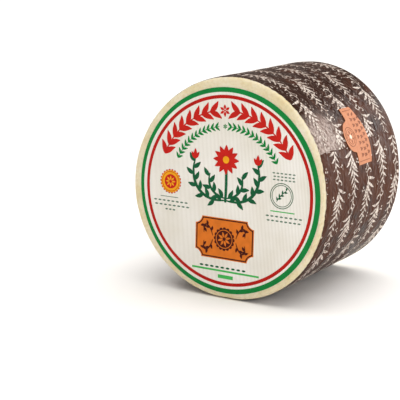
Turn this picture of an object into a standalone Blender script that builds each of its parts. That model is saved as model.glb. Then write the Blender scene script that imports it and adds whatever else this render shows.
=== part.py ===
"""A whole wheel of pecorino romano lying on its side.

The wheel's axis runs along Y, its labelled face looks to -Y and it rests on a narrow
flat at z = 0, with the origin at the middle of the foot of its bounding box.

Every piece is first turned or laid out in a frame of its own, with the wheel's axis
along Z, the labelled face at +Z and the world's up along Y. swing_to_world() lays the
finished piece down.
"""

import math

import bmesh
import bpy
from mathutils import Matrix

MM = 0.001

# Driving dimensions
WHEEL_RADIUS = 165 * MM  # mean radius, over the wrap
WHEEL_LENGTH = 264 * MM  # from bare face to bare face
WRAP_THICKNESS = 0.8 * MM
SKIN_GAP = 0.3 * MM  # clearance between a piece and what it lies on

# How far the cheese is from a true cylinder. Shares are of the radius.
LOBES = (  # how many lobes round the side, share gained on each, angle of one of them
    (2, 0.0062, math.radians(64.3)),
    (3, 0.0121, math.radians(69.1)),
    (4, 0.0016, math.radians(59.4)),
)
TAPER = 0.005  # share gained from the labelled face to the bare face
WAIST = 0.0015  # share lost half way along the side
LEAN = 0.0345  # how far the faces lean back for each unit of height
AXIS_OFFSET = 1.8 * MM  # the axis's X, because the lobes reach farther on one side
FOOT_HALF_ANGLE = math.radians(6.5)  # half of the flat that the wheel stands on
FOOT_BLEND = 0.003  # share of the radius over which the flat melts into the round

# Edges and faces of the cheese
FRONT_ROUND = 6.5 * MM
BACK_ROUND = 9 * MM
WRAP_END_INSET = 5.2 * MM  # from each face to the edge of the wrap
BACK_DISH = 1.6 * MM  # how far the bare face sinks at its middle
BACK_DISH_RADIUS = 0.86 * WHEEL_RADIUS

# The round label and the sticker on the side
LABEL_RADIUS = 0.925 * WHEEL_RADIUS
LABEL_THICKNESS = 0.5 * MM
LABEL_OFFSET_X = 2.5 * MM
LABEL_OFFSET_Y = -1.6 * MM
STICKER_LENGTH = 90 * MM  # round the wheel
STICKER_THICKNESS = 0.4 * MM
STICKER_ANGLE = math.radians(27.9)
STICKER_NEAR = 114.5 * MM  # from the labelled face to the sticker's nearer long edge
STICKER_FAR = 152.5 * MM  # and to its farther one
STICKER_TAB = 25.5 * MM  # how far the round tab stands out of the nearer edge
STICKER_TAB_SHARE = 0.54  # the tab's length, as a share of the sticker's
STICKER_BOW = 9.5 * MM  # how far the farther edge bows out
STICKER_SKEW = 5 * MM  # how far the farther edge slants

# Fineness of the meshes
TURN_STEPS = 120
SIDE_ROWS = 8
ROUND_POINTS = 5
LABEL_SIDES = 96
STICKER_CELLS = (24, 10)
WELD = 0.00001


def side_share(angle, along):
    """Radius of the wheel at an angle and a place along its axis, as a share of WHEEL_RADIUS.
    along runs from -1 at the bare face to 1 at the labelled face."""
    share = 1 - TAPER / 2 * along - WAIST * (1 - along * along)
    for count, gain, angle_of_lobe in LOBES:
        share += gain * math.cos(count * (angle - angle_of_lobe))
    return share


def floor_share():
    """Height of the axis over the floor, as a share of WHEEL_RADIUS."""
    return side_share(-math.pi / 2, 0) * math.cos(FOOT_HALF_ANGLE)


def true_share(angle, along):
    """side_share() with the foot pressed flat, by a soft minimum of the round and the flat."""
    share = side_share(angle, along)
    if math.sin(angle) < 0:
        flat = floor_share() / -math.sin(angle)
        mix = max(0.0, min(1.0, 0.5 + 0.5 * (share - flat) / FOOT_BLEND))
        share += (flat - share) * mix - FOOT_BLEND * mix * (1 - mix)
    return share


def swell(mesh):
    """Moves a turned mesh from a true cylinder to the uneven wheel, in its turning frame."""
    for vertex in mesh.vertices:
        x, y, z = vertex.co
        angle = math.atan2(y, x)
        along = max(-1.0, min(1.0, z / (WHEEL_LENGTH / 2)))
        share = true_share(angle, along)
        vertex.co = (x * share, y * share, z)


def swing_to_world(mesh):
    """Lays the axis along Y: +Z of the turning frame becomes -Y, and its +Y becomes +Z.
    On the way the faces are leant back, while the side stays level."""
    mesh.transform(Matrix(((1, 0, 0, 0), (0, LEAN, -1, 0), (0, 1, 0, 0), (0, 0, 0, 1))))


def round_corner(radius, level, size, start, end):
    """Points of a quarter round centred at (radius, level), as (r, z) pairs."""
    points = []
    for step in range(ROUND_POINTS):
        angle = start + (end - start) * step / (ROUND_POINTS - 1)
        points.append((radius + size * math.cos(angle), level + size * math.sin(angle)))
    return points


def between(first, last, count):
    """count points evenly spaced between two others, without them."""
    steps = [(i + 1) / (count + 1) for i in range(count)]
    return [
        (first[0] + (last[0] - first[0]) * s, first[1] + (last[1] - first[1]) * s)
        for s in steps
    ]


def turned_mesh(name, profile, closed):
    """The mesh that a profile of (r, z) points sweeps out in one turn round Z."""
    outline = bpy.data.meshes.new(name + "_profile")
    edges = [(i, i + 1) for i in range(len(profile) - 1)]
    if closed:
        edges.append((len(profile) - 1, 0))
    outline.from_pydata([(r, 0, z) for r, z in profile], edges, [])
    turner = bpy.data.objects.new(name + "_profile", outline)
    bpy.context.scene.collection.objects.link(turner)
    screw = turner.modifiers.new("Turn", "SCREW")
    screw.steps = TURN_STEPS
    screw.render_steps = TURN_STEPS
    screw.use_merge_vertices = True
    screw.merge_threshold = WELD
    bpy.context.view_layer.update()
    evaluated = turner.evaluated_get(bpy.context.evaluated_depsgraph_get())
    mesh = bpy.data.meshes.new_from_object(evaluated)
    mesh.name = name
    bpy.data.objects.remove(turner)
    bpy.data.meshes.remove(outline)
    return mesh


def matter(name, colour, roughness):
    """A Principled BSDF material. The colour is linear."""
    material = bpy.data.materials.new(name)
    material.use_nodes = True
    shader = material.node_tree.nodes["Principled BSDF"]
    shader.inputs["Base Color"].default_value = (*colour, 1)
    shader.inputs["Roughness"].default_value = roughness
    shader.inputs["Metallic"].default_value = 0
    material.diffuse_color = (*colour, 1)
    return material


def place(name, mesh, material, collection, axle):
    """An object for a finished mesh, hung on the wheel's axis."""
    mesh.materials.clear()
    mesh.materials.append(material)
    piece = bpy.data.objects.new(name, mesh)
    collection.objects.link(piece)
    piece.parent = axle
    return piece


def cheese_mesh():
    """The cheese itself: rounded edges, a flat labelled face and a slightly dished bare face."""
    half = WHEEL_LENGTH / 2
    side = WHEEL_RADIUS - WRAP_THICKNESS - SKIN_GAP
    front_round = round_corner(
        side - FRONT_ROUND, half - FRONT_ROUND, FRONT_ROUND, math.pi / 2, 0
    )
    back_round = round_corner(
        side - BACK_ROUND, -half + BACK_ROUND, BACK_ROUND, 0, -math.pi / 2
    )
    front_middle = (0, half)
    dish_middle = (0, -half + BACK_DISH)
    dish_rim = (BACK_DISH_RADIUS, -half)
    dish_foot = (BACK_DISH_RADIUS * 0.93, -half + BACK_DISH * 0.8)
    profile = [front_middle, *between(front_middle, front_round[0], 2), *front_round]
    profile += [*between(front_round[-1], back_round[0], SIDE_ROWS), *back_round]
    profile += [dish_rim, dish_foot, *between(dish_foot, dish_middle, 1), dish_middle]
    mesh = turned_mesh("cheese", profile, False)
    swell(mesh)
    return mesh


def wrap_mesh():
    """The dark printed wrap: a thin sleeve round the side, open at both faces."""
    half = WHEEL_LENGTH / 2 - WRAP_END_INSET
    outer = WHEEL_RADIUS
    inner = WHEEL_RADIUS - WRAP_THICKNESS
    edge = WRAP_THICKNESS / 2  # the sleeve's ends slope in towards the cheese
    top_out, top_in = (outer, half - edge), (inner, half)
    low_out, low_in = (outer, -half + edge), (inner, -half)
    outside = [top_out, *between(top_out, low_out, SIDE_ROWS), low_out]
    inside = [low_in, *between(low_in, top_in, SIDE_ROWS), top_in]
    mesh = turned_mesh("side_wrap", outside + inside, True)
    swell(mesh)
    return mesh


def label_mesh():
    """The round paper label, a thin disc just proud of the face."""
    mesh = bpy.data.meshes.new("face_label")
    disc = bmesh.new()
    bmesh.ops.create_cone(
        disc,
        cap_ends=True,
        segments=LABEL_SIDES,
        radius1=LABEL_RADIUS,
        radius2=LABEL_RADIUS,
        depth=LABEL_THICKNESS,
    )
    level = WHEEL_LENGTH / 2 + SKIN_GAP + LABEL_THICKNESS / 2
    bmesh.ops.translate(
        disc, verts=disc.verts, vec=(LABEL_OFFSET_X, LABEL_OFFSET_Y, level)
    )
    disc.to_mesh(mesh)
    disc.free()
    return mesh


def sticker_mesh():
    """The orange sticker, laid on the wrap's curve: straight ends, a long edge that bows out
    and another with a round tab in its middle."""
    mesh = bpy.data.meshes.new("side_sticker")
    sheet = bmesh.new()
    across, round_wheel = STICKER_CELLS[1], STICKER_CELLS[0]
    bmesh.ops.create_grid(sheet, x_segments=round_wheel, y_segments=across, size=1)
    clearance = 1 + SKIN_GAP / WHEEL_RADIUS
    for vertex in sheet.verts:
        around, sideways = vertex.co.x, vertex.co.y
        tab = STICKER_TAB * math.sqrt(max(0, 1 - (around / STICKER_TAB_SHARE) ** 2))
        near = STICKER_NEAR - tab
        far = STICKER_FAR + STICKER_BOW * (1 - around * around) - STICKER_SKEW * around
        depth = far + (near - far) * (sideways + 1) / 2
        level = WHEEL_LENGTH / 2 - depth
        angle = STICKER_ANGLE + around * STICKER_LENGTH / 2 / WHEEL_RADIUS
        share = true_share(angle, level / (WHEEL_LENGTH / 2)) * clearance
        reach = WHEEL_RADIUS * share
        vertex.co = (reach * math.cos(angle), reach * math.sin(angle), level)
    sheet.to_mesh(mesh)
    sheet.free()
    return mesh


def build():
    for leftover in list(bpy.data.objects):
        bpy.data.objects.remove(leftover)
    wheel = bpy.data.collections.new("pecorino_wheel")
    bpy.context.scene.collection.children.link(wheel)
    axle = bpy.data.objects.new("wheel_axis", None)
    wheel.objects.link(axle)
    # The label stands proud of one face, so the wheel sits back by half of that.
    proud = SKIN_GAP + LABEL_THICKNESS
    axle.location = (AXIS_OFFSET, proud / 2, floor_share() * WHEEL_RADIUS)

    rind = matter("cream_rind", (0.80, 0.69, 0.47), 0.55)
    film = matter("dark_wrap", (0.085, 0.042, 0.028), 0.38)
    paper = matter("label_paper", (0.80, 0.77, 0.68), 0.45)
    orange = matter("sticker_orange", (0.87, 0.35, 0.12), 0.45)

    for name, mesh, material in (
        ("cheese", cheese_mesh(), rind),
        ("side_wrap", wrap_mesh(), film),
        ("face_label", label_mesh(), paper),
        ("side_sticker", sticker_mesh(), orange),
    ):
        swing_to_world(mesh)
        mesh.shade_smooth()
        mesh.set_sharp_from_angle(angle=math.radians(35))
        place(name, mesh, material, wheel, axle)

    thicken = bpy.data.objects["side_sticker"].modifiers.new("Paper", "SOLIDIFY")
    thicken.thickness = STICKER_THICKNESS
    thicken.offset = 1


build()
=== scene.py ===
# A whole pecorino wheel lying on its side: the looks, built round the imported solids.
from itertools import cycle
from math import atan2, cos, degrees, exp, hypot, pi, radians, sin

import bmesh
import bpy
from mathutils import Matrix, Quaternion, Vector, noise


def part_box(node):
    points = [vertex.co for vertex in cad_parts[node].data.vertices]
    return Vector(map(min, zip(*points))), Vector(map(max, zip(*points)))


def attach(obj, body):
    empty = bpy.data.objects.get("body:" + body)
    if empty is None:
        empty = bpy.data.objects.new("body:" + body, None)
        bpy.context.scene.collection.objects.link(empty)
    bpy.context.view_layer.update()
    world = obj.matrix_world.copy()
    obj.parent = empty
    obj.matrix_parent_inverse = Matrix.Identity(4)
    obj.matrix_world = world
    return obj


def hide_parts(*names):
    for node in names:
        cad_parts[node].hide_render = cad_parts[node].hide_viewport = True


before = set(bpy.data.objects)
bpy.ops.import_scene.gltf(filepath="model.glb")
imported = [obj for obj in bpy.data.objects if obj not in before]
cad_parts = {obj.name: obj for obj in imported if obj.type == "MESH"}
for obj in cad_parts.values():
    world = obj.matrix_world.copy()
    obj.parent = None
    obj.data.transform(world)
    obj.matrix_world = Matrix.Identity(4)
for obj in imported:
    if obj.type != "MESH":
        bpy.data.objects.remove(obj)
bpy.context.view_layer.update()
print("frame loaded:", ", ".join(sorted(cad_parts)))

mm = 0.001

# The wheel's uneven round, as the solids have it. Shares are of the radius.
wheel = {
    "radius": 165 * mm,
    "length": 264 * mm,
    "lobes": ((2, 0.0062, radians(64.3)), (3, 0.0121, radians(69.1)), (4, 0.0016, radians(59.4))),
    "taper": 0.005,
    "waist": 0.0015,
    "footBlend": 0.003,
    "lean": 0.0345,  # the faces lean back this much for each unit of height
}

# Where it lies. Its axis runs along Y, the labelled face looks to -Y, and the label's middle
# is a little off the axis.
labelShift = {"x": 2.5 * mm, "z": -1.6 * mm}
labelStand = 0.55 * mm  # from the bare face to the middle of the label's solid
labelMiddle = sum(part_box("face_label"), Vector()) / 2
labelX, labelZ = labelMiddle.x, labelMiddle.z
axisX, axisZ = labelX - labelShift["x"], labelZ - labelShift["z"]
faceY = labelMiddle.y + labelStand - wheel["lean"] * labelShift["z"]  # the bare face, at the axis
footShare = axisZ / wheel["radius"]


def wheelShare(angle, depth):
    along = max(-1.0, min(1.0, 1 - 2 * depth / wheel["length"]))  # 1 at the labelled face
    share = 1 - wheel["taper"] / 2 * along - wheel["waist"] * (1 - along * along)
    for count, gain, lobeAngle in wheel["lobes"]:
        share += gain * cos(count * (angle - lobeAngle))
    if sin(angle) < 0:  # the foot is pressed flat
        flat = footShare / -sin(angle)
        mix = max(0.0, min(1.0, 0.5 + 0.5 * (share - flat) / wheel["footBlend"]))
        share += (flat - share) * mix - wheel["footBlend"] * mix * (1 - mix)
    return share


def onWheel(angle, depth, reach):
    height = reach * sin(angle)
    return Vector((axisX + reach * cos(angle), faceY + depth + wheel["lean"] * height, axisZ + height))


def wheelPlace(point):
    x, height = point.x - axisX, point.z - axisZ
    return atan2(height, x), point.y - faceY - wheel["lean"] * height, hypot(x, height)


def spunPlace(point):
    # the same for a profile just spun about the plain Y axis
    return atan2(point.z, point.x), point.y, hypot(point.x, point.z)


def smoothStep(low, high, value):
    t = max(0.0, min(1.0, (value - low) / (high - low)))
    return t * t * (3 - 2 * t)


def toLinear(hexColour):
    values = [int(hexColour[i:i + 2], 16) / 255 for i in (1, 3, 5)]
    return [v / 12.92 if v <= 0.04045 else ((v + 0.055) / 1.055) ** 2.4 for v in values] + [1]


def toneStops(stops, tones):
    return [(stop, toLinear(tone)) for stop, tone in zip(stops, tones)]


def addNode(tree, kind, settings=None, links=None, stops=None, **options):
    node = tree.nodes.new("ShaderNode" + kind)
    for name, value in options.items():
        setattr(node, name, value)
    for name, value in (settings or {}).items():
        node.inputs[name].default_value = value
    for name, source in (links or {}).items():
        tree.links.new(source, node.inputs[name])
    for index, (place, colour) in enumerate(stops or []):  # a colour ramp's stops
        ramp = node.color_ramp.elements
        stop = ramp[index] if index < 2 else ramp.new(place)
        stop.position, stop.color = place, colour
    return node


mixA, mixB, mixOut = 6, 7, 2  # the colour sockets of a Mix node
rangeSockets = "From Min", "From Max", "To Min", "To Max"
black, white = (0, 0, 0, 1), (1, 1, 1, 1)


def newMaterial(name, roughness, ior=1.5):
    material = bpy.data.materials.new(name)
    material.use_nodes = True
    tree = material.node_tree
    shader = tree.nodes["Principled BSDF"]
    shader.inputs["Roughness"].default_value = roughness
    shader.inputs["IOR"].default_value = ior
    place = addNode(tree, "TexCoord").outputs["Object"]
    return material, tree, shader, place


def newObject(name, data):
    holder = bpy.data.objects.new(name, data)
    bpy.context.scene.collection.objects.link(holder)
    return holder


def meshObject(bm, name, materials):
    mesh = bpy.data.meshes.new(name)
    bm.to_mesh(mesh)
    bm.free()
    for material in materials:
        mesh.materials.append(material)
    return newObject(name, mesh)


sharpAngle = radians(40)  # edges sharper than this stay crisp


def makePiece(bm, name, materials, replaced=None):
    piece = meshObject(bm, name, materials)
    piece.data.shade_smooth()
    piece.data.set_sharp_from_angle(angle=sharpAngle)
    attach(piece, "root")
    if replaced:
        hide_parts(replaced)
    print("%s: %d faces" % (name, len(piece.data.polygons)))
    return piece


# The camera stands where the photo was taken from, found from the face's outline and rings.
camera = {
    "place": (5.29685, -8.75636, 2.16970),  # in wheel radii, from the face's middle
    "yaw": radians(32.429),
    "pitch": radians(12.439),
    "roll": radians(0.146),
    "focalPixels": 1182.4,
    "imagePixels": 400,
    "sensor": 36,
}


def addCamera():
    data = bpy.data.cameras.new("camera")
    data.sensor_width = camera["sensor"]
    data.lens = camera["sensor"] * camera["focalPixels"] / camera["imagePixels"]
    data.clip_end = 100
    holder = newObject("camera", data)
    middle = Vector((axisX, faceY, axisZ))
    holder.location = middle + Vector(camera["place"]) * wheel["radius"]
    yaw, pitch = camera["yaw"], camera["pitch"]
    look = Vector((-sin(yaw) * cos(pitch), cos(yaw) * cos(pitch), -sin(pitch)))
    turn = look.to_track_quat("-Z", "Y") @ Quaternion((0, 0, 1), camera["roll"])
    holder.rotation_euler = turn.to_euler()
    bpy.context.scene.camera = holder


# A wide sun evens out the floor; softboxes before it, on its right and behind it shape the gloss.
lamps = {
    "sun": {"place": (0.0, 0.12, 0.95), "aim": (0, 0, 0), "power": 2.6, "angle": radians(76)},
    "front": {"place": (0.9, -1.3, 0.9), "aim": (0, 0, 0.15), "size": 0.9, "power": 5.2},
    "right": {"place": (1.70, 0.90, 0.70), "aim": (0, 0, 0.15), "size": 1.1, "power": 8.5},
    "behind": {"place": (1.10, 3.00, 0.95), "aim": (0, 0, 0.15), "size": 1.8, "power": 36},
}
studio = {"world": "#F9F2EA", "strength": 0.42, "floor": "#F6F5F3", "floorSize": 60}


def addStudio():
    for name, lamp in lamps.items():
        data = bpy.data.lights.new(name, "AREA" if "size" in lamp else "SUN")
        data.energy = lamp["power"]
        if "size" in lamp:
            data.shape, data.size = "SQUARE", lamp["size"]
        else:
            data.angle = lamp["angle"]
        holder = newObject(name, data)
        holder.location = lamp["place"]
        aim = Vector(lamp["aim"]) - holder.location
        holder.rotation_euler = aim.to_track_quat("-Z", "Y").to_euler()
    world = bpy.data.worlds.new("studio")
    bpy.context.scene.world = world
    world.use_nodes = True
    sky = world.node_tree.nodes["Background"]
    sky.inputs["Color"].default_value = toLinear(studio["world"])
    sky.inputs["Strength"].default_value = studio["strength"]
    paint, _, shader, _ = newMaterial("mattePaintedFloor", 0.9)
    shader.inputs["Base Color"].default_value = toLinear(studio["floor"])
    shader.inputs["Specular IOR Level"].default_value = 0.1
    bm = bmesh.new()
    bmesh.ops.create_grid(bm, x_segments=1, y_segments=1, size=studio["floorSize"] / 2)
    meshObject(bm, "floor", [paint])
    bpy.context.scene.view_settings.view_transform = "Standard"


addCamera()
addStudio()
print("camera, lamps and floor placed")


rind = {
    "patchSize": 28 * mm,
    "curdSize": 4.5 * mm,
    "grainSize": 1.1 * mm,
    "tones": ("#DDCEA4", "#E8DFC8"),
    "fleck": "#EFE7D2",
    "curdBump": 0.4 * mm,
    "grainBump": 0.15 * mm,
    "seeThrough": 4 * mm,
}


def pecorinoRind():
    # Pressed sheep's milk curd, salted and dried: pale cream, dry and faintly see-through,
    # with a fine grain and a few small pits.
    material, tree, shader, place = newMaterial("pecorinoRind", 0.55, 1.45)
    patches, curd, grain = (
        addNode(tree, "TexNoise", {"Scale": 1 / rind[size], "Detail": detail}, {"Vector": place})
        for size, detail in (("patchSize", 4), ("curdSize", 3), ("grainSize", 2))
    )
    tone = addNode(
        tree, "ValToRGB", None, {"Fac": patches.outputs["Fac"]},
        toneStops((0.30, 0.70), rind["tones"]),
    )
    fleck = addNode(
        tree, "ValToRGB", None, {"Fac": curd.outputs["Fac"]},
        [(0.30, toLinear(rind["fleck"])), (0.58, white)],
    )
    colour = addNode(
        tree, "Mix", {0: 0.6}, {mixA: tone.outputs["Color"], mixB: fleck.outputs["Color"]},
        data_type="RGBA", blend_type="MULTIPLY",
    )
    tree.links.new(colour.outputs[mixOut], shader.inputs["Base Color"])
    low = addNode(
        tree, "Bump", {"Strength": 0.5, "Distance": rind["curdBump"]},
        {"Height": curd.outputs["Fac"]},
    )
    fine = addNode(
        tree, "Bump", {"Strength": 0.4, "Distance": rind["grainBump"]},
        {"Height": grain.outputs["Fac"], "Normal": low.outputs["Normal"]},
    )
    tree.links.new(fine.outputs["Normal"], shader.inputs["Normal"])
    shader.inputs["Subsurface Weight"].default_value = 0.25
    shader.inputs["Subsurface Radius"].default_value = (1.0, 0.75, 0.4)
    shader.inputs["Subsurface Scale"].default_value = rind["seeThrough"]
    return material


# The cheese: a turned body, its faces and edges a little uneven.
cheese = {
    "sideInset": 0.85 * mm,  # how far its side lies inside the wrap's outside
    "frontRound": 6.5 * mm,
    "backRound": 9 * mm,
    "dish": 1.6 * mm,  # the bare back face sinks this far
    "dishRadius": 0.86,  # share of the radius
    "dishSlope": 0.93,  # share of the dish where its edge has come down
    "dishFall": 0.8,  # by this share of its depth
    "roundSteps": 9,
    "spacing": 3 * mm,  # between rings
    "steps": 360,
    "swell": 0.16 * mm,
    "swellSize": 34 * mm,
    "grain": 0.05 * mm,
    "grainSize": 7 * mm,
}


def profileWire(bm, points, closed=False):
    # points: (reach, depth) pairs, laid out beside the Y axis
    corners = [bm.verts.new((reach, depth, 0)) for reach, depth in points]
    pairs = list(zip(corners, corners[1:])) + ([(corners[-1], corners[0])] if closed else [])
    edges = [bm.edges.new(pair) for pair in pairs]
    return corners, edges


def cutRows(bm, spacing):
    for edge in list(bm.edges):
        cuts = int(edge.calc_length() / spacing)
        if cuts:
            bmesh.ops.subdivide_edges(bm, edges=[edge], cuts=cuts)


def spinWire(bm, steps):
    bmesh.ops.spin(
        bm, geom=bm.verts[:] + bm.edges[:], cent=(0, 0, 0), axis=(0, 1, 0),
        angle=2 * pi, steps=steps, use_merge=True,
    )
    bmesh.ops.remove_doubles(bm, verts=bm.verts, dist=0.001 * mm)
    bmesh.ops.recalc_face_normals(bm, faces=bm.faces)


def makeCheese():
    side = wheel["radius"] - cheese["sideInset"]
    dishReach = cheese["dishRadius"] * wheel["radius"]
    bm = bmesh.new()
    corners, _ = profileWire(bm, [
        (0, 0),
        (side, 0),
        (side, wheel["length"]),
        (dishReach, wheel["length"]),
        (dishReach * cheese["dishSlope"], wheel["length"] - cheese["dish"] * cheese["dishFall"]),
        (0, wheel["length"] - cheese["dish"]),
    ])
    for corner, size in ((corners[1], cheese["frontRound"]), (corners[2], cheese["backRound"])):
        bmesh.ops.bevel(
            bm, geom=[corner], offset=size, segments=cheese["roundSteps"], profile=0.5,
            affect="VERTICES", material=-1,
        )
    cutRows(bm, cheese["spacing"])
    spinWire(bm, cheese["steps"])
    for vert in bm.verts:
        angle, depth, reach = spunPlace(vert.co)
        vert.co = onWheel(angle, depth, reach * wheelShare(angle, depth))
    bm.normal_update()
    moves = []
    for vert in bm.verts:
        soft = noise.noise(vert.co / cheese["swellSize"]) * cheese["swell"]
        fine = noise.noise(vert.co / cheese["grainSize"]) * cheese["grain"]
        moves.append(vert.normal * (soft + fine - cheese["swell"]))
    for vert, move in zip(bm.verts, moves):
        vert.co += move
    return makePiece(bm, "cheeseBody", [pecorinoRind()], replaced="cheese")


makeCheese()


# The wrap: one dark printed film round the side, lapped over itself and finely wrinkled.
wrap = {
    "edge": 5.2 * mm,  # from each face to the film's edge
    "ragged": 1.4 * mm,
    "raggedSize": 6 * mm,
    "raggedReach": 10 * mm,  # rows this near the edge go along
    "steps": 480,
    "spacing": 2 * mm,  # between rows along the axis
    "blankThickness": 1 * mm,  # before it is laid on the cheese
    "innerCuts": 8,
    "innerGap": 0.04 * mm,
    "edgeLift": 0.10 * mm,  # over the cheese, at its edges and over the rest
    "lift": 0.55 * mm,
    "settling": (-1 * mm, 9 * mm),  # between these depths from its edge it rises to that
    "foldHeight": 0.75 * mm,
    "foldSpacing": 9 * mm,
    "foldLength": 48 * mm,
    "calmSize": 60 * mm,  # where folds die away
    "billow": 0.30 * mm,
    "billowSize": 38 * mm,
    "slant": 0.07,  # how far folds and print drift along the axis as they run round
    "lapAngle": radians(24),  # the film's outer end
    "lapWander": radians(3.2),
    "lapWanderSize": 45 * mm,
    "lapColumns": radians(12),  # columns this near the lap follow it
    "lapStep": 0.30 * mm,
    "looseStep": 0.70 * mm,  # more where the lap has come loose, near the labelled face
    "looseDepth": 70 * mm,
    "lapReach": radians(28),
    "footClearance": 0.45 * mm,
}


def lapAngleAt(depth):
    wander = noise.noise((depth / wrap["lapWanderSize"], 3.1, 0.0))
    return wrap["lapAngle"] + wrap["lapWander"] * wander


def filmLift(angle, depth):
    # how far the film's outside stands off the cheese's side
    edge = min(depth, wheel["length"] - depth) - wrap["edge"]
    settled = smoothStep(*wrap["settling"], edge)
    past = (angle - lapAngleAt(depth)) % (2 * pi)
    radius = wheel["radius"]
    around = Vector((cos(angle), sin(angle), 0)) * radius
    drift = depth - wrap["slant"] * past * radius
    spot = around / wrap["foldLength"]
    fold = 1 - 2 * abs(noise.noise((spot.x, spot.y, drift / wrap["foldSpacing"])))
    calm = noise.noise((spot.x * 0.8, spot.y * 0.8, 7 + depth / wrap["calmSize"]))
    fold *= wrap["foldHeight"] * smoothStep(-0.45, 0.5, calm)
    wide = around / wrap["billowSize"]
    billow = noise.noise((wide.x, wide.y, 5 + depth / wrap["billowSize"])) * wrap["billow"]
    loose = 1 - smoothStep(0.4 * wrap["looseDepth"], wrap["looseDepth"], depth)
    lap = (wrap["lapStep"] + wrap["looseStep"] * loose) * exp(-past / wrap["lapReach"])
    lift = wrap["edgeLift"] + (wrap["lift"] - wrap["edgeLift"]) * settled
    return lift + settled * (0.5 * fold + billow + lap)


def roundDrop(depth):
    # how far the cheese's rounded edges fall short of its side, at a depth
    short = max(cheese["frontRound"] - depth, 0), max(depth - wheel["length"] + cheese["backRound"], 0)
    sizes = cheese["frontRound"], cheese["backRound"]
    return sum(size - (size * size - min(s, size) ** 2) ** 0.5 for size, s in zip(sizes, short))


def cheeseReach(angle, depth):
    return (wheel["radius"] - cheese["sideInset"] - roundDrop(depth)) * wheelShare(angle, depth)


def filmReach(angle, depth):
    reach = cheeseReach(angle, depth) + filmLift(angle, depth)
    if sin(angle) < 0:  # it lies flat on the floor under the foot
        reach = min(reach, (axisZ - wrap["footClearance"]) / -sin(angle))
    return reach


def raggedEdge(angle, depth):
    # the film's cut edges wander, and the rows next to them go along
    edge = min(depth, wheel["length"] - depth) - wrap["edge"]
    near = 1 - smoothStep(0, wrap["raggedReach"], edge)
    around = Vector((cos(angle), sin(angle), 0)) * wheel["radius"] / wrap["raggedSize"]
    side = 1 if depth < wheel["length"] / 2 else -1
    around.z = side
    wander = noise.noise(around) + 0.6 * noise.noise(around * 3.3)
    return depth + side * near * wander * wrap["ragged"]


def lapColumns(angle, depth):
    # columns of the mesh follow the lap's wandering line, so that its step is a clean edge
    turn = (angle - wrap["lapAngle"] + pi) % (2 * pi) - pi
    pitch = 2 * pi / wrap["steps"]
    if abs(turn - pitch) < pitch / 4:
        turn = pitch / 6
    wander = lapAngleAt(depth) - wrap["lapAngle"]
    return wrap["lapAngle"] + turn + wander * (1 - smoothStep(0, wrap["lapColumns"], abs(turn)))


film = {
    "pleat": (15 * mm, 5.2 * mm),  # length round the wheel, width
    "cloudSize": 26 * mm,
    "crinkleSize": 4.5 * mm,
    "ridgeSize": 13 * mm,
    "browns": ("#2E1509", "#4A2717", "#543120"),
    # painted shade in the creases of the pleats
    "groove": "#A8948B",
    # painted highlights along the pleats, and along the ridges up top
    "glint": "#A99588",
    "spark": "#C2B3A9",
    # milky film come off the rind, and partly a painted reflection
    "milkAndSheen": "#BDACA3",
    "pleatBump": 0.4 * mm,
    "crinkleBump": 0.6 * mm,
    "ridgeBump": 2.6 * mm,
    "ranges": {  # from low and high, to low and high
        # painted shade: darker over the top, and a little darker towards the foot
        "paintedShadeOverTop": (0.24, 0.31, 0, 0.30),
        "paintedShadeAtFoot": (0.04, 0.15, 0.25, 0),
        # painted highlights: thin broken lines of light along the ridges, on the upper part
        "line": (0.0, 0.004, 0.9, 0),
        "broken": (0.53, 0.60, 0, 1),
        "upper": (0.235, 0.30, 0, 1),
        # the milky patch where it came off the rind, partly a painted reflection: how far up from
        # the lap, how far in from the face, how uneven
        "upward": (0.030, 0.070, 1, 0),
        "inward": (0.050, 0.092, 1, 0),
        "uneven": (0.32, 0.62, 0.12, 0.92),
        "gloss": (0.3, 0.7, 0.24, 0.46),
    },
}


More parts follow.
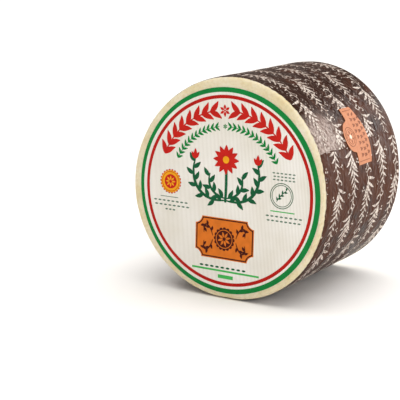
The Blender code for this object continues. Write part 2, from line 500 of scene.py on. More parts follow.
def printedFilm():
    # Thin polyethylene film printed dark brown and finely crinkled. Painted pale glints run along its
    # pleats and ridges, painted shade darkens the pleats' creases, the top and the foot, and the film
    # is milky where it has come off the rind beside the lap, partly a painted reflection.
    material, tree, shader, place = newMaterial("printedFilm", 0.34, 1.32)
    shader.inputs["Specular IOR Level"].default_value = 0.08
    flat = addNode(tree, "UVMap", uv_map="around").outputs["UV"]
    length, width = film["pleat"]
    stretched = addNode(
        tree, "Mapping", {"Scale": (1 / length, 1 / width, 1)}, {"Vector": flat}
    ).outputs["Vector"]
    cloud, crinkle = (
        addNode(tree, "TexNoise", {"Scale": 1 / film[size], "Detail": detail}, {"Vector": place})
        for size, detail in (("cloudSize", 5), ("crinkleSize", 3))
    )
    streak = addNode(tree, "TexNoise", {"Scale": 1, "Detail": 4}, {"Vector": stretched})
    ridge = addNode(
        tree, "TexNoise", {"Scale": 1 / film["ridgeSize"], "Detail": 4, "Distortion": 0.6},
        {"Vector": place}, noise_type="RIDGED_MULTIFRACTAL",
    )
    height = addNode(tree, "SeparateXYZ", None, {"Vector": place})
    ranges = {name: dict(zip(rangeSockets, ends)) for name, ends in film["ranges"].items()}
    paintedShadeOverTop, paintedShadeAtFoot, upper = (
        addNode(tree, "MapRange", ranges[name], {"Value": height.outputs["Z"]})
        for name in ("paintedShadeOverTop", "paintedShadeAtFoot", "upper")
    )
    # painted shade over the top and at the foot, taken off the brown's tone
    darker = addNode(
        tree, "Math", None, {0: paintedShadeOverTop.outputs["Result"], 1: paintedShadeAtFoot.outputs["Result"]},
        operation="ADD",
    )
    depthOfTone = addNode(
        tree, "Math", None, {0: cloud.outputs["Fac"], 1: darker.outputs[0]},
        operation="SUBTRACT",
    )
    base = addNode(
        tree, "ValToRGB", None, {"Fac": depthOfTone.outputs[0]},
        toneStops((0.22, 0.44, 0.72), film["browns"]),
    )
    # painted shade: the pleats' low lines are darkened
    groove = addNode(
        tree, "ValToRGB", None, {"Fac": streak.outputs["Fac"]},
        [(0.36, toLinear(film["groove"])), (0.48, white)],
    )
    creaseShaded = addNode(
        tree, "Mix", {0: 0.55}, {mixA: base.outputs["Color"], mixB: groove.outputs["Color"]},
        data_type="RGBA", blend_type="MULTIPLY",
    )
    # painted highlights: the pleats' high lines are made paler
    glint = addNode(
        tree, "ValToRGB", None, {"Fac": streak.outputs["Fac"]},
        [(0.60, black), (0.82, (0.35, 0.35, 0.35, 1))],
    )
    line, broken, uneven, gloss = (
        addNode(tree, "MapRange", ranges[name], {"Value": source.outputs["Fac"]})
        for name, source in (
            ("line", ridge), ("broken", crinkle), ("uneven", crinkle), ("gloss", cloud)
        )
    )
    parts = addNode(tree, "SeparateXYZ", None, {"Vector": flat})
    upward, inward = (
        addNode(
            tree, "MapRange", ranges[name], {"Value": parts.outputs[axis]},
            interpolation_type="SMOOTHSTEP",
        )
        for name, axis in (("upward", "X"), ("inward", "Y"))
    )
    # painted glints and sparks, then the milky patch, partly a painted reflection
    tints = [("glint", glint.outputs["Color"])]
    for tint, factors in (("spark", (line, upper, broken)), ("milkAndSheen", (upward, inward, uneven))):
        share = factors[0].outputs["Result"]
        for factor in factors[1:]:
            share = addNode(
                tree, "Math", None, {0: share, 1: factor.outputs["Result"]}, operation="MULTIPLY"
            ).outputs[0]
        tints.append((tint, share))
    colour = creaseShaded.outputs[mixOut]
    for tint, share in tints:
        colour = addNode(
            tree, "Mix", {mixB: toLinear(film[tint])}, {0: share, mixA: colour}, data_type="RGBA"
        ).outputs[mixOut]
    tree.links.new(colour, shader.inputs["Base Color"])
    tree.links.new(gloss.outputs["Result"], shader.inputs["Roughness"])
    links = {}
    for relief, strength, size in (
        (streak, 0.6, "pleatBump"), (crinkle, 0.7, "crinkleBump"), (ridge, 0.7, "ridgeBump")
    ):
        links["Height"] = relief.outputs["Fac"]
        bump = addNode(tree, "Bump", {"Strength": strength, "Distance": film[size]}, links)
        links["Normal"] = bump.outputs["Normal"]
    tree.links.new(links["Normal"], shader.inputs["Normal"])
    return material


def aroundMap(bm):
    # a flat map in metres: how far round from the lap, and how deep
    layer = bm.loops.layers.uv.new("around")
    radius = wheel["radius"]
    for face in bm.faces:
        middle = wheelPlace(face.calc_center_median())[0]
        start = (middle - wrap["lapAngle"]) % (2 * pi)
        for loop in face.loops:
            angle, depth, _ = wheelPlace(loop.vert.co)
            turn = start + (angle - middle + pi) % (2 * pi) - pi
            loop[layer].uv = (turn * radius, depth)


def makeWrap():
    outside, inside = wheel["radius"], wheel["radius"] - wrap["blankThickness"]
    first, last = wrap["edge"], wheel["length"] - wrap["edge"]
    bm = bmesh.new()
    _, edges = profileWire(
        bm, [(outside, first), (outside, last), (inside, last), (inside, first)], closed=True
    )
    rows = int((last - first) / wrap["spacing"])
    bmesh.ops.subdivide_edges(bm, edges=[edges[0]], cuts=rows)
    bmesh.ops.subdivide_edges(bm, edges=[edges[2]], cuts=wrap["innerCuts"])
    spinWire(bm, wrap["steps"])
    for vert in bm.verts:
        angle, depth, reach = spunPlace(vert.co)
        depth = raggedEdge(angle, depth)
        angle = lapColumns(angle, depth)
        if reach > (outside + inside) / 2:
            reach = filmReach(angle, depth)
        else:
            reach = cheeseReach(angle, depth) + wrap["innerGap"]
        vert.co = onWheel(angle, depth, reach)
    aroundMap(bm)
    return makePiece(bm, "wrapFilm", [printedFilm()], replaced="side_wrap")


makeWrap()


# Flat drawings, in millimetres. Each shape lies a hair above the one drawn before it, and
# a tier lifts a shape clear of the ones that it covers.
hairSteps, hairStep, tierStep = 47, 0.002 * mm, 0.10 * mm
hairs = cycle(step * hairStep for step in range(hairSteps))
dash = {"pitch": 2.9, "share": 0.76}  # pitch in heights, and how much of it is printed


def alongCurve(guides, t):
    points = [Vector((x, y, 0)) * mm for x, y in guides]
    while len(points) > 2:
        points = [a.lerp(b, t) for a, b in zip(points, points[1:])]
    return points[0].lerp(points[1], t), (points[1] - points[0]).normalized()


def settle(verts, ink, tier):
    hair = next(hairs) + tier * tierStep
    for vert in verts:
        vert.co.z = hair
        for face in vert.link_faces:
            face.material_index = ink


def addStroke(bm, guides, width, ink=0, tier=0, cells=(8, 1), taper=0.6, lean=1.0):
    # a brush stroke, thick where lean puts its middle and thin at both ends
    sheet = bmesh.ops.create_grid(bm, x_segments=cells[0], y_segments=cells[1], size=0.5)["verts"]
    for vert in sheet:
        t, side = vert.co.x + 0.5, vert.co.y
        spot, ahead = alongCurve(guides, t)
        swell = width * mm * sin(pi * min(max(t, 0.03), 0.97) ** lean) ** taper
        vert.co = spot + Vector((-ahead.y, ahead.x, 0)) * side * swell
    settle(sheet, ink, tier)


def addLeaf(bm, x, y, turn, length, width, ink=0, tier=0, bend=0.0, cells=(5, 2)):
    along, across = cos(radians(turn)) * length, sin(radians(turn)) * length
    middle = (x + along / 2 - across * bend, y + across / 2 + along * bend)
    guides = [(x, y), middle, (x + along, y + across)]
    addStroke(bm, guides, width, ink, tier, cells, taper=0.85, lean=0.8)


def addFan(bm, x, y, turns, root, length, width, ink=0, tier=0):
    for turn in turns:
        foot = x + root * cos(radians(turn)), y + root * sin(radians(turn))
        addLeaf(bm, *foot, turn, length, width, ink, tier)


def addSprig(bm, guides, width, leafAt, leaf, leafWidth, ink=0, spread=42):
    # a stem with leaves on either side in turn
    addStroke(bm, guides, width, ink, 1, (13, 1), taper=0.35)
    side = 1
    for place in leafAt:
        spot, ahead = alongCurve(guides, place)
        turn = atan2(ahead.y, ahead.x) * 180 / pi + spread * side
        foot = spot.x / mm, spot.y / mm
        addLeaf(bm, *foot, turn, leaf, leafWidth, ink, bend=-0.12 * side)
        side = -side


def addDot(bm, x, y, radius, ink=0, tier=0, sides=8):
    rim = bmesh.ops.create_circle(bm, cap_ends=True, segments=sides, radius=radius * mm)["verts"]
    bmesh.ops.translate(bm, verts=rim, vec=(x * mm, y * mm, 0))
    settle(rim, ink, tier)


def addScallops(bm, x, y, radius, count, size, ink=0, tier=0):
    for step in range(count):
        turn = 2 * pi * step / count
        addDot(bm, x + radius * cos(turn), y + radius * sin(turn), size, ink, tier, 10)


def addBar(bm, x, y, length, height, ink=0, tier=0):
    bar = bmesh.ops.create_grid(bm, x_segments=1, y_segments=1, size=0.5 * mm)["verts"]
    bmesh.ops.scale(bm, verts=bar, vec=(length, height, 1))
    bmesh.ops.translate(bm, verts=bar, vec=(x * mm, y * mm, 0))
    settle(bar, ink, tier)


def addRing(bm, x, y, inner, outer, ink=0, tier=0, sides=40, shift=0.0):
    rims = []
    for radius, push in ((outer, 0), (inner, shift)):
        rim = bmesh.ops.create_circle(bm, segments=sides, radius=radius * mm)["verts"]
        bmesh.ops.translate(bm, verts=rim, vec=((x + push) * mm, y * mm, 0))
        rims += rim
    edges = list({edge for vert in rims for edge in vert.link_edges})
    bmesh.ops.bridge_loops(bm, edges=edges)
    settle(rims, ink, tier)


def addMarks(bm, first, last, y, height, ink=0, tier=0):
    # an even row of small blunt dashes
    count = round((last - first) / (dash["pitch"] * height))
    pitch = (last - first) / count
    for step in range(count):
        mark = bmesh.ops.create_circle(bm, cap_ends=True, segments=6, radius=0.5 * mm)["verts"]
        bmesh.ops.scale(bm, verts=mark, vec=(dash["share"] * pitch, height, 1))
        bmesh.ops.translate(bm, verts=mark, vec=((first + (step + 0.5) * pitch) * mm, y * mm, 0))
        settle(mark, ink, tier)


def thicken(bm, depth):
    # the drawing stays on top and gets sides and one common bottom
    made = bmesh.ops.extrude_face_region(bm, geom=bm.faces[:], use_keep_orig=True)["geom"]
    low = [part for part in made if isinstance(part, bmesh.types.BMVert)]
    for vert in low:
        vert.co.z = -depth
    bmesh.ops.recalc_face_normals(bm, faces=bm.faces)


inkLook = {"roughness": 0.5, "patchSize": 12 * mm, "weak": 0.84}


def printInk(name, hexColour):
    # Printing ink on paper: flat, a little uneven in strength, with hardly any sheen.
    material, tree, shader, place = newMaterial(name, inkLook["roughness"])
    shader.inputs["Specular IOR Level"].default_value = 0.12
    patches = addNode(
        tree, "TexNoise", {"Scale": 1 / inkLook["patchSize"], "Detail": 4}, {"Vector": place}
    )
    colour = toLinear(hexColour)
    deep = [value * inkLook["weak"] for value in colour[:3]] + [1]
    ramp = addNode(
        tree, "ValToRGB", None, {"Fac": patches.outputs["Fac"]}, [(0.3, deep), (0.6, colour)]
    )
    tree.links.new(ramp.outputs["Color"], shader.inputs["Base Color"])
    return material


# The white print: a leafy frond with curls and berries, over and over round the film.
spray = {
    "columnPitch": 50.0,  # along the wheel's axis, in millimetres
    "rows": 11,  # round the wheel
    "firstColumn": -2,
    "lastColumn": 6,
    "columnStart": 24.0,
    "overhang": 25 * mm,  # a spray whose middle is this far past the film's edge still shows
    "slantTurn": 5.0,  # degrees that every other spray leans the other way
    "inset": 1.4 * mm,  # clear of the film's cut edges
    "lapInset": 2.0 * mm,
    "lift": 0.20 * mm,
    "thickness": 0.16 * mm,
}
frond = {
    "stem": [(-41, -7), (-20, 12), (6, -14), (42, 6)],  # guide points
    "stemWidth": 1.9,
    "pairs": 8,
    "first": 0.05,  # share of the stem where the leaves begin
    "step": 0.118,
    "lag": 0.055,  # a pair's second leaf sits this much further on
    "spread": 52,
    "length": (24.0, 11.0),  # leaves at the foot and at the tip
    "width": (4.7, 2.4),
    "bend": 0.15,
}
curls = [  # guide points, width
    ([(-41, -7), (-54, -10), (-54, 10), (-42, 9), (-45, 2)], 2.2),
    ([(42, 6), (52, 5), (50, -9), (40, -7), (43, -2)], 1.8),
]
berries = [  # x, y, radius
    (-25, -19, 1.6), (-20, -21, 1.6), (-21, -16, 1.6),
    (19, 17, 1.4), (24, 18, 1.4), (22, 14, 1.4),
]
chalk = {
    "wearSize": 4 * mm,
    "tones": ("#755E51", "#DDD1C6"),  # worn and fresh
    "bump": 0.8 * mm,
    # painted shade: the print wears more over the top so it looks dimmer there
    "paintedShadeOnTop": (0.22, 0.33, 0, 0.07),  # more on top: from low and high, to low and high
}


def whiteInk():
    # Opaque white ink on the film: chalky, rubbed thin in places so that the brown shows,
    # and worn more over the top as painted shade.
    material, tree, shader, place = newMaterial("whiteInk", 0.5)
    shader.inputs["Specular IOR Level"].default_value = 0.25
    worn, crinkle = (
        addNode(tree, "TexNoise", {"Scale": 1 / size, "Detail": detail}, {"Vector": place})
        for size, detail in ((chalk["wearSize"], 5), (film["crinkleSize"], 3))
    )
    height = addNode(tree, "SeparateXYZ", None, {"Vector": place})
    paintedShadeOnTop = dict(zip(rangeSockets, chalk["paintedShadeOnTop"]))
    # painted shade: more wear over the top
    upper = addNode(tree, "MapRange", paintedShadeOnTop, {"Value": height.outputs["Z"]})
    kept = addNode(
        tree, "Math", None, {0: worn.outputs["Fac"], 1: upper.outputs["Result"]},
        operation="SUBTRACT",
    )
    ramp = addNode(
        tree, "ValToRGB", None, {"Fac": kept.outputs[0]},
        toneStops((0.40, 0.54), chalk["tones"]),
    )
    tree.links.new(ramp.outputs["Color"], shader.inputs["Base Color"])
    bump = addNode(
        tree, "Bump", {"Strength": 0.8, "Distance": chalk["bump"]},
        {"Height": crinkle.outputs["Fac"]},
    )
    tree.links.new(bump.outputs["Normal"], shader.inputs["Normal"])
    return material


def drawSpray(bm):
    addStroke(bm, frond["stem"], frond["stemWidth"], 0, 1, (13, 1), taper=0.35)
    for step in range(frond["pairs"]):
        share = step / (frond["pairs"] - 1)
        length, width = (a + (b - a) * share for a, b in (frond["length"], frond["width"]))
        for side, lag in ((1, 0), (-1, frond["lag"])):
            spot, ahead = alongCurve(frond["stem"], frond["first"] + frond["step"] * step + lag)
            turn = degrees(atan2(ahead.y, ahead.x)) + frond["spread"] * side
            bend = -frond["bend"] * side
            addLeaf(bm, *spot.xy / mm, turn, length, width, bend=bend, cells=(6, 1))
    for guides, width in curls:
        addStroke(bm, guides, width, cells=(10, 1), lean=0.8)
    for x, y, radius in berries:
        addDot(bm, x, y, radius, sides=6)


def makePrint():
    girth = 2 * pi * wheel["radius"]
    rowPitch = girth / spray["rows"]
    low = wrap["edge"] + spray["inset"]
    high = wheel["length"] - low
    single = bmesh.new()
    drawSpray(single)
    motif = bpy.data.meshes.new("spray")
    single.to_mesh(motif)
    single.free()
    bm = bmesh.new()
    for column in range(spray["firstColumn"], spray["lastColumn"] + 1):
        odd = column % 2
        for row in range(spray["rows"] + 1):
            u = (row + 0.5 - 0.5 * odd) * rowPitch
            v = (spray["columnStart"] + column * spray["columnPitch"]) * mm + wrap["slant"] * u
            if not low - spray["overhang"] < v < high + spray["overhang"]:
                continue
            known = len(bm.verts)
            bm.from_mesh(motif)
            bm.verts.ensure_lookup_table()
            added = bm.verts[known:]
            lean = wrap["slant"] + radians(spray["slantTurn"] * (1 if odd else -1))
            bmesh.ops.scale(bm, verts=added, vec=(-1, 1 if odd else -1, 1))
            bmesh.ops.rotate(bm, verts=added, matrix=Matrix.Rotation(lean, 3, "Z"))
            bmesh.ops.translate(bm, verts=added, vec=(u, v, 0))
    bpy.data.meshes.remove(motif)
    cuts = (
        ((0, low, 0), (0, -1, 0)),
        ((0, high, 0), (0, 1, 0)),
        ((spray["lapInset"], 0, 0), (-1, 0, 0)),
        ((girth - spray["lapInset"], 0, 0), (1, 0, 0)),
    )
    for middle, way in cuts:
        bmesh.ops.bisect_plane(
            bm, geom=bm.verts[:] + bm.edges[:] + bm.faces[:], dist=0.001 * mm,
            plane_co=middle, plane_no=way, clear_outer=True,
        )
    thicken(bm, spray["thickness"])
    for vert in bm.verts:
        u, depth, hair = vert.co
        angle = lapAngleAt(depth) + u / wheel["radius"]
        vert.co = onWheel(angle, depth, filmReach(angle, depth) + spray["lift"] + hair)
    bmesh.ops.reverse_faces(bm, faces=bm.faces)  # laid round the wheel, the drawing is mirrored
    return makePiece(bm, "whitePrint", [whiteInk()])


makePrint()


# The round paper label. Everything on it is drawn in millimetres from its middle.
label = {
    "radius": 152.6,
    "top": 0.80,  # over the cheese's face
    "thickness": 0.42,
    "edgeDrop": 0.25,  # the outer edge is pressed down
    "edgeWidth": 9.0,
    "inkThickness": 0.06,
    "inkStep": 0.05,
    "sides": 192,
    "rows": 30,
    "ribPitch": 2.3 * mm,
    "ribBump": 0.12 * mm,
    "cloudSize": 50 * mm,
    "tones": ("#E8E4DA", "#F3F1EC"),
    "groove": "#C9C3B6",
}
inkTones = {
    "green": "#0C8039", "red": "#C41E15", "ringRed": "#B5160E",
    "darkGreen": "#0F5A36", "greyGreen": "#5E7A66", "leafGreen": "#45B556",
    "orange": "#DB7523", "brown": "#48160B", "ochre": "#F0A81C",
}
inks = {ink: printInk(ink + "Ink", tone) for ink, tone in inkTones.items()}


def paperTop(x, y):
    fall = smoothStep(label["radius"] - label["edgeWidth"], label["radius"], hypot(x, y))
    return label["top"] - label["edgeDrop"] * fall


def pressOn(bm, level):
    # lays a flat drawing on the label
    for vert in bm.verts:
        x, y, hair = vert.co
        height = (paperTop(x / mm, y / mm) + level * label["inkStep"]) * mm + hair
        z = labelZ + y
        vert.co = (labelX + x, faceY - height + wheel["lean"] * (z - axisZ), z)


def inkPiece(bm, name, inkNames, level=1):
    thicken(bm, label["inkThickness"] * mm)
    pressOn(bm, level)
    return makePiece(bm, name, [inks[ink] for ink in inkNames])


def ribbedPaper():
    # Laminated paper: off-white, with fine upright ribs whose grooves look grey.
    material, tree, shader, place = newMaterial("ribbedPaper", 0.42)
    shader.inputs["Specular IOR Level"].default_value = 0.3
    ribs = addNode(
        tree, "TexWave", {"Scale": pi / (10 * label["ribPitch"]), "Distortion": 0.3, "Detail": 1},
        {"Vector": place}, wave_type="BANDS", bands_direction="X", wave_profile="SIN",
    )
    cloud = addNode(
        tree, "TexNoise", {"Scale": 1 / label["cloudSize"], "Detail": 4}, {"Vector": place}
    )
    tone = addNode(
        tree, "ValToRGB", None, {"Fac": cloud.outputs["Fac"]},
        toneStops((0.3, 0.7), label["tones"]),
    )
    line = addNode(
        tree, "ValToRGB", None, {"Fac": ribs.outputs["Fac"]},
        [(0.0, toLinear(label["groove"])), (0.42, white)],
    )
    colour = addNode(
        tree, "Mix", {0: 0.65}, {mixA: tone.outputs["Color"], mixB: line.outputs["Color"]},
        data_type="RGBA", blend_type="MULTIPLY",
    )
    tree.links.new(colour.outputs[mixOut], shader.inputs["Base Color"])
    bump = addNode(
        tree, "Bump", {"Strength": 0.35, "Distance": label["ribBump"]},
        {"Height": ribs.outputs["Fac"]},
    )
    tree.links.new(bump.outputs["Normal"], shader.inputs["Normal"])
    return material


def makeLabel():
    bm = bmesh.new()
    bmesh.ops.create_circle(
        bm, cap_ends=True, cap_tris=True, segments=label["sides"], radius=label["radius"] * mm
    )
    bmesh.ops.recalc_face_normals(bm, faces=bm.faces)
    spokes = [edge for edge in bm.edges if len(edge.link_faces) == 2]
    bmesh.ops.subdivide_edges(bm, edges=spokes, cuts=label["rows"])
    thicken(bm, label["thickness"] * mm)
    pressOn(bm, 0)
    return makePiece(bm, "labelPaper", [ribbedPaper()], replaced="face_label")


# Rings: a broad green one at the edge, white between, a narrower red one inside.
rings = {"green": (145.4, 152.4), "greenShift": -1.1, "red": (136.2, 141.2), "sides": 240}


def makeRings():
    bm = bmesh.new()
    addRing(bm, 0, 0, *rings["green"], 0, 0, rings["sides"], rings["greenShift"])
    addRing(bm, 0, 0, *rings["red"], 1, 0, rings["sides"])
    bmesh.ops.subdivide_edges(
        bm, edges=[edge for edge in bm.edges if len(edge.link_faces) == 2], cuts=3
    )
    return inkPiece(bm, "labelRings", ["green", "ringRed"])


# Garlands: a bold red laurel and, under it, a fine green one.
garlands = [
    {"radius": 118.5, "first": 157, "last": 29, "split": 93, "leaf": 21.5, "width": 8.4,
     "lean": 37, "pitch": 7.4, "stem": 2.2, "gap": 11, "ink": 0},
    {"radius": 95.5, "first": 154, "last": 31, "split": 93, "leaf": 9.6, "width": 3.5,
     "lean": 42, "pitch": 4.6, "stem": 1.0, "gap": 6, "ink": 1},
]
stemPiece = {"turn": 12, "bow": 0.9}  # degrees that one stroke of a stem spans, and its bow
# where the halves meet: a star, with the root, length and width of its petals in leaf widths
garlandStar = {"turns": range(33, 393, 60), "petal": (0.22, 0.85, 0.5), "heart": 0.18}


def makeGarlands():
    bm = bmesh.new()
    span = stemPiece["turn"]
    bow = 1 + (1 - cos(radians(span / 2))) * stemPiece["bow"]
    for garland in garlands:
        radius, ink = garland["radius"], garland["ink"]
        for start, way in ((garland["first"], -1), (garland["last"], 1)):
            reach = abs(garland["split"] - start) - garland["gap"]
            for step in range(int(reach / span) + 1):
                parts = (span * step, span * (step + 0.5), span * (step + 1))
                turns = [start + way * min(reach, part) for part in parts]
                guides = [
                    (r * cos(radians(t)), r * sin(radians(t)))
                    for r, t in zip((radius, radius * bow, radius), turns)
                ]
                addStroke(bm, guides, garland["stem"], ink, 1, (5, 1), taper=0.15)
            turn = start
            while abs(turn - start) < reach:
                x, y = radius * cos(radians(turn)), radius * sin(radians(turn))
                ahead = turn + 90 * way
                for side in (-1, 1):
                    addLeaf(
                        bm, x, y, ahead + side * garland["lean"], garland["leaf"],
                        garland["width"], ink, bend=-0.14 * side, cells=(6, 2),
                    )
                turn += way * garland["pitch"]
        turn, size = radians(garland["split"]), garland["width"]
        middle = radius * cos(turn), radius * sin(turn)
        petal = (size * share for share in garlandStar["petal"])
        addFan(bm, *middle, garlandStar["turns"], *petal, ink)
        addDot(bm, *middle, size * garlandStar["heart"], ink, sides=12)
    return inkPiece(bm, "labelGarlands", ["red", "green"])


# The middle: a red bloom on a dark green stem, and branches that sweep up beside it to red buds.
bloom = {
    "x": -2, "y": 47, "petals": 12, "petal": (4.2, 17.5, 8.2),  # root, length, width
    "heart": 8.0, "eye": 5.28,
    "budOut": 53, "budUp": 44,  # from the bloom's upright and from the label's middle
    "bud": [(90, 15, 6.4), (56, 12, 5.4), (124, 12, 5.4)],  # turn, length, width of its petals
}
bed = {"x": bloom["x"], "y": -13, "stem": 4.6, "leaf": (15, 6.8), "spread": 48}
branches = [  # guide points from the foot, stem width, leaves
    ([(0, 0), (44, -8), (64, 24), (53, 57)], 4.6, 10),
    ([(0, 3), (16, 4), (34, 16), (27, 38)], 3.6, 6),
]


def makeFlower():
    bm = bmesh.new()
    x, y = bloom["x"], bloom["y"]
    turns = [360 / bloom["petals"] * step for step in range(bloom["petals"])]
    addFan(bm, x, y, turns, *bloom["petal"])
    addDot(bm, x, y, bloom["heart"], 0, 1, 24)
    addDot(bm, x, y, bloom["eye"], 1, 2, 24)
    for side in (-1, 1):
        for turn, length, width in bloom["bud"]:
            addLeaf(bm, x + side * bloom["budOut"], bloom["budUp"], turn, length, width)
    return inkPiece(bm, "labelFlower", ["red", "ochre"], level=7)


def makeBranches():
    bm = bmesh.new()
    x, y = bed["x"], bed["y"]
    stem = [(x, y - 3), (x + 2, y + 22), (x, bloom["y"])]
    addStroke(bm, stem, bed["stem"], tier=1, taper=0.1)
    for guides, width, count in branches:
        places = [(step + 0.6) / count for step in range(count)]
        for side in (-1, 1):
            route = [(x + side * out, y + up) for out, up in guides]
            addSprig(bm, route, width, places, *bed["leaf"], spread=bed["spread"] * side)
    return inkPiece(bm, "labelBranches", ["darkGreen"])


# Left and right: a scalloped ochre seal, a green double round, bars and rows of dashes.
seal = {
    "x": -98, "y": 4.8, "radius": 16.9, "scallopsAt": 17.0, "scallops": 22, "scallop": 1.9,
    "ring": (14.4, 15.2), "eye": 10.8, "petals": (2.2, 6.4, 2.6),  # root, length, width
}
twigRound = {
    "x": 91.1, "y": 4.2, "rings": ((17.6, 18.7), (15.0, 15.9)), "stem": 1.4, "leaf": (6, 2.8),
    "twig": [(-8, -9), (-4, -1), (8, 9)], "leafAt": [0.1, 0.24, 0.38, 0.52, 0.66, 0.8, 0.96],
}
leftBar, rightBar = (-100, -18.8, 32, 1.0, 3), (93, -18.8, 39, 1.6, 4)  # x, y, length, height, ink
dashRows = [  # first and last x, y, height
    (-129, -66, -25.2, 2.6), (-127, -63, -31.6, 2.6), (-108, -88, -38, 2.6),
    (74, 113, 36.4, 2.2), (76, 112, 31.6, 2.2), (75, 113, 27.0, 2.2),
    (65, 126, -26.2, 2.6), (67, 124, -32.6, 2.6),
]


def makeSeals():
    bm = bmesh.new()
    x, y = seal["x"], seal["y"]
    addScallops(bm, x, y, seal["scallopsAt"], seal["scallops"], seal["scallop"], 1)
    addDot(bm, x, y, seal["radius"], 0, 1, 40)
    addRing(bm, x, y, *seal["ring"], 1, 2)
    addDot(bm, x, y, seal["eye"], 1, 2, 32)
    addFan(bm, x, y, range(0, 360, 45), *seal["petals"], 0, 3)
    x, y = twigRound["x"], twigRound["y"]
    for ring in twigRound["rings"]:
        addRing(bm, x, y, *ring, 2, 0, 48)
    twig = [(x + out, y + up) for out, up in twigRound["twig"]]
    addSprig(bm, twig, twigRound["stem"], twigRound["leafAt"], *twigRound["leaf"], 2)
    addBar(bm, *leftBar)
    for first, last, level, height in dashRows:
        addMarks(bm, first, last, level, height, 3)
    addBar(bm, *rightBar)
    return inkPiece(bm, "labelSeals", ["ochre", "red", "darkGreen", "greyGreen", "leafGreen"])


# Low in the middle: an orange plaque with scooped corners, a brown scalloped round in its
# middle and brown twigs beside it.
plaque = {
    "x": -2, "y": -71, "length": 100, "height": 62, "scoop": 11, "rim": 1.3, "border": 2.0,
    "round": 15.0, "scallops": 16, "scallop": 2.9, "ring": (13.0, 14.2),
    "petals": (2.6, 8.4, 3.6),  # root, length, width
    "twig": [(20, 3), (24, 20), (38, 27), (35, 6)],  # guide points from its middle
    "twigStem": 2.0, "twigLeaf": (7.4, 4.0), "twigSpread": 42,
    "leafAt": [0.16 + 0.14 * step for step in range(6)],
}


def makePlaque():
    bm = bmesh.new()
    corners = bmesh.ops.create_grid(bm, x_segments=1, y_segments=1, size=0.5 * mm)["verts"]
    bmesh.ops.scale(bm, verts=corners, vec=(plaque["length"], plaque["height"], 1))
    bmesh.ops.bevel(
        bm, geom=corners, offset=plaque["scoop"] * mm, segments=6, profile=0.1,
        affect="VERTICES", material=-1,
    )
    x, y = plaque["x"], plaque["y"]
    bmesh.ops.translate(bm, verts=bm.verts, vec=(x * mm, y * mm, 0))
    plate = max(bm.faces, key=lambda face: face.calc_area())
    for width, ink in ((plaque["rim"], 0), (plaque["border"], 1)):
        rim = bmesh.ops.inset_region(
            bm, faces=[plate], thickness=width * mm, use_boundary=True, use_even_offset=True
        )["faces"]
        for face in rim:
            face.material_index = ink
    addScallops(bm, x, y, plaque["round"], plaque["scallops"], plaque["scallop"], 1, 1)
    addDot(bm, x, y, plaque["round"], 1, 2, 40)
    addRing(bm, x, y, *plaque["ring"], 0, 3)
    addFan(bm, x, y, range(15, 375, 45), *plaque["petals"], 0, 4)
    return inkPiece(bm, "labelPlaque", ["orange", "brown"])


def makePlaquePrint():
    bm = bmesh.new()
    x, y = plaque["x"], plaque["y"]
    for side, rise in ((-1, -1), (-1, 1), (1, -1), (1, 1)):
        guides = [(x + out * side, y + up * rise) for out, up in plaque["twig"]]
        spread = plaque["twigSpread"] * side * rise
        leaf = plaque["twigLeaf"]
        addSprig(bm, guides, plaque["twigStem"], plaque["leafAt"], *leaf, spread=spread)
    return inkPiece(bm, "plaquePrint", ["brown"], level=4)


# Near the label's foot: a row of dashes, and under it a light green bar and a small block.
footDashes = (-45, 37, -114.4, 3.2)  # first and last x, y, height
footBars = [(0.7, -119.5, 115, 2.8), (1.5, -128.0, 26, 5.4)]  # x, y, length, height


def makeFootMarks():
    bm = bmesh.new()
    addMarks(bm, *footDashes, 1, 1)
    for bar in footBars:
        addBar(bm, *bar)
    return inkPiece(bm, "labelFootMarks", ["leafGreen", "darkGreen"])


makeLabel()
makeRings()
makeGarlands()
makeFlower()
makeBranches()
makeSeals()
makePlaque()
makePlaquePrint()
makeFootMarks()
print("label printed")


# The sticker on the side: orange paper with a round tab on its nearer edge, brown print.
sticker = {
    "length": 89.0,
    "angle": radians(27.9),
    "near": 115.0,  # its edges, from the labelled face
    "far": 152.0,
    "tab": 25.0,
    "tabShare": 0.54,
    "bow": 9.5,
    "skew": 5.0,
    "clearance": 0.40,
    "thickness": 0.30,
    "bridge": [radians(d) for d in (-1.6, -0.8, 0, 0.8, 1.6)],  # it rests on the highest of these
    "cells": (56, 26),
    "fibreSize": 6 * mm,
    "tones": ("#C1764B", "#C9845B"),
}
stickerArt = {
    "lift": 0.08,
    "depth": 0.1,
    "outward": 6,  # from the nearer edge to the middle of the round on the tab
    "rings": ((14.2, 15.2), (10.8, 11.4)), "eye": 3.4, "petals": (4.4, 5, 2.6),
    "ends": {"x": 39.5, "from": 118, "to": 149, "skew": 3, "width": 0.9},
    "rows": ((129, -33, 33, 8), (139, -34, 34, 9), (150, -31, 27, 7.5)),  # y, first and last x, leaf
    "leaf": {"width": 3.2, "bend": 0.1, "pitch": 4.6, "turns": (58, 112)},
}


def stickerHeight(angle, depth):
    # it bridges the film's folds and its lap
    near = [filmReach(angle + turn, depth) for turn in sticker["bridge"]]
    return max(near) + sticker["clearance"] * mm


def pressOnSide(bm, lift):
    # x runs up round the wheel and y is how deep it lies
    for vert in bm.verts:
        x, depth, hair = vert.co
        angle = sticker["angle"] + x / wheel["radius"]
        vert.co = onWheel(angle, depth, stickerHeight(angle, depth) + lift * mm + hair)
    bmesh.ops.reverse_faces(bm, faces=bm.faces)  # mirrored, as the white print is


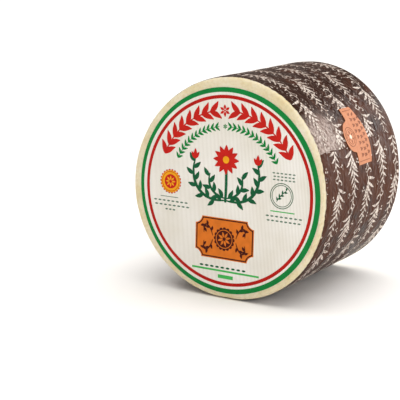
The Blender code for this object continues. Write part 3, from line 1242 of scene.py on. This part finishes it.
def stickerPaper():
    # Uncoated orange paper, dull, a little mottled.
    material, tree, shader, place = newMaterial("orangePaper", 0.55)
    shader.inputs["Specular IOR Level"].default_value = 0.25
    fibre = addNode(
        tree, "TexNoise", {"Scale": 1 / sticker["fibreSize"], "Detail": 5}, {"Vector": place}
    )
    ramp = addNode(
        tree, "ValToRGB", None, {"Fac": fibre.outputs["Fac"]},
        toneStops((0.3, 0.7), sticker["tones"]),
    )
    tree.links.new(ramp.outputs["Color"], shader.inputs["Base Color"])
    return material


def makeSticker():
    bm = bmesh.new()
    columns, rows = sticker["cells"]
    bmesh.ops.create_grid(bm, x_segments=columns, y_segments=rows, size=1)
    for vert in bm.verts:
        around, sideways = vert.co.x, vert.co.y
        tab = sticker["tab"] * max(0, 1 - (around / sticker["tabShare"]) ** 2) ** 0.5
        near = sticker["near"] - tab
        far = sticker["far"] + sticker["bow"] * (1 - around ** 2) - sticker["skew"] * around
        depth = far + (near - far) * (sideways + 1) / 2
        vert.co = (around * sticker["length"] / 2 * mm, depth * mm, 0)
    thicken(bm, sticker["thickness"] * mm)
    pressOnSide(bm, sticker["thickness"])
    return makePiece(bm, "stickerPaper", [stickerPaper()], replaced="side_sticker")


def makeStickerPrint():
    bm = bmesh.new()
    ends, leaf = stickerArt["ends"], stickerArt["leaf"]
    middle = 0, sticker["near"] - stickerArt["outward"]
    for side in (-1, 1):
        end = ends["x"] * side
        guides = [(end, ends["from"]), (end, ends["to"] - ends["skew"] * side)]
        addStroke(bm, guides, ends["width"], cells=(14, 1), taper=0.1)
    for ring in stickerArt["rings"]:
        addRing(bm, *middle, *ring)
    addDot(bm, *middle, stickerArt["eye"], 1, 0, 16)
    addFan(bm, *middle, range(0, 360, 60), *stickerArt["petals"])
    for level, first, last, length in stickerArt["rows"]:
        turns = cycle(leaf["turns"])
        x = first
        while x < last:
            addLeaf(bm, x, level, next(turns), length, leaf["width"], bend=leaf["bend"])
            x += leaf["pitch"]
    thicken(bm, stickerArt["depth"] * mm)
    pressOnSide(bm, sticker["thickness"] + stickerArt["lift"])
    ink, spot = printInk("stickerInk", "#8A4D2C"), printInk("paleInk", "#F3DCC6")
    return makePiece(bm, "stickerPrint", [ink, spot])


makeSticker()
makeStickerPrint()
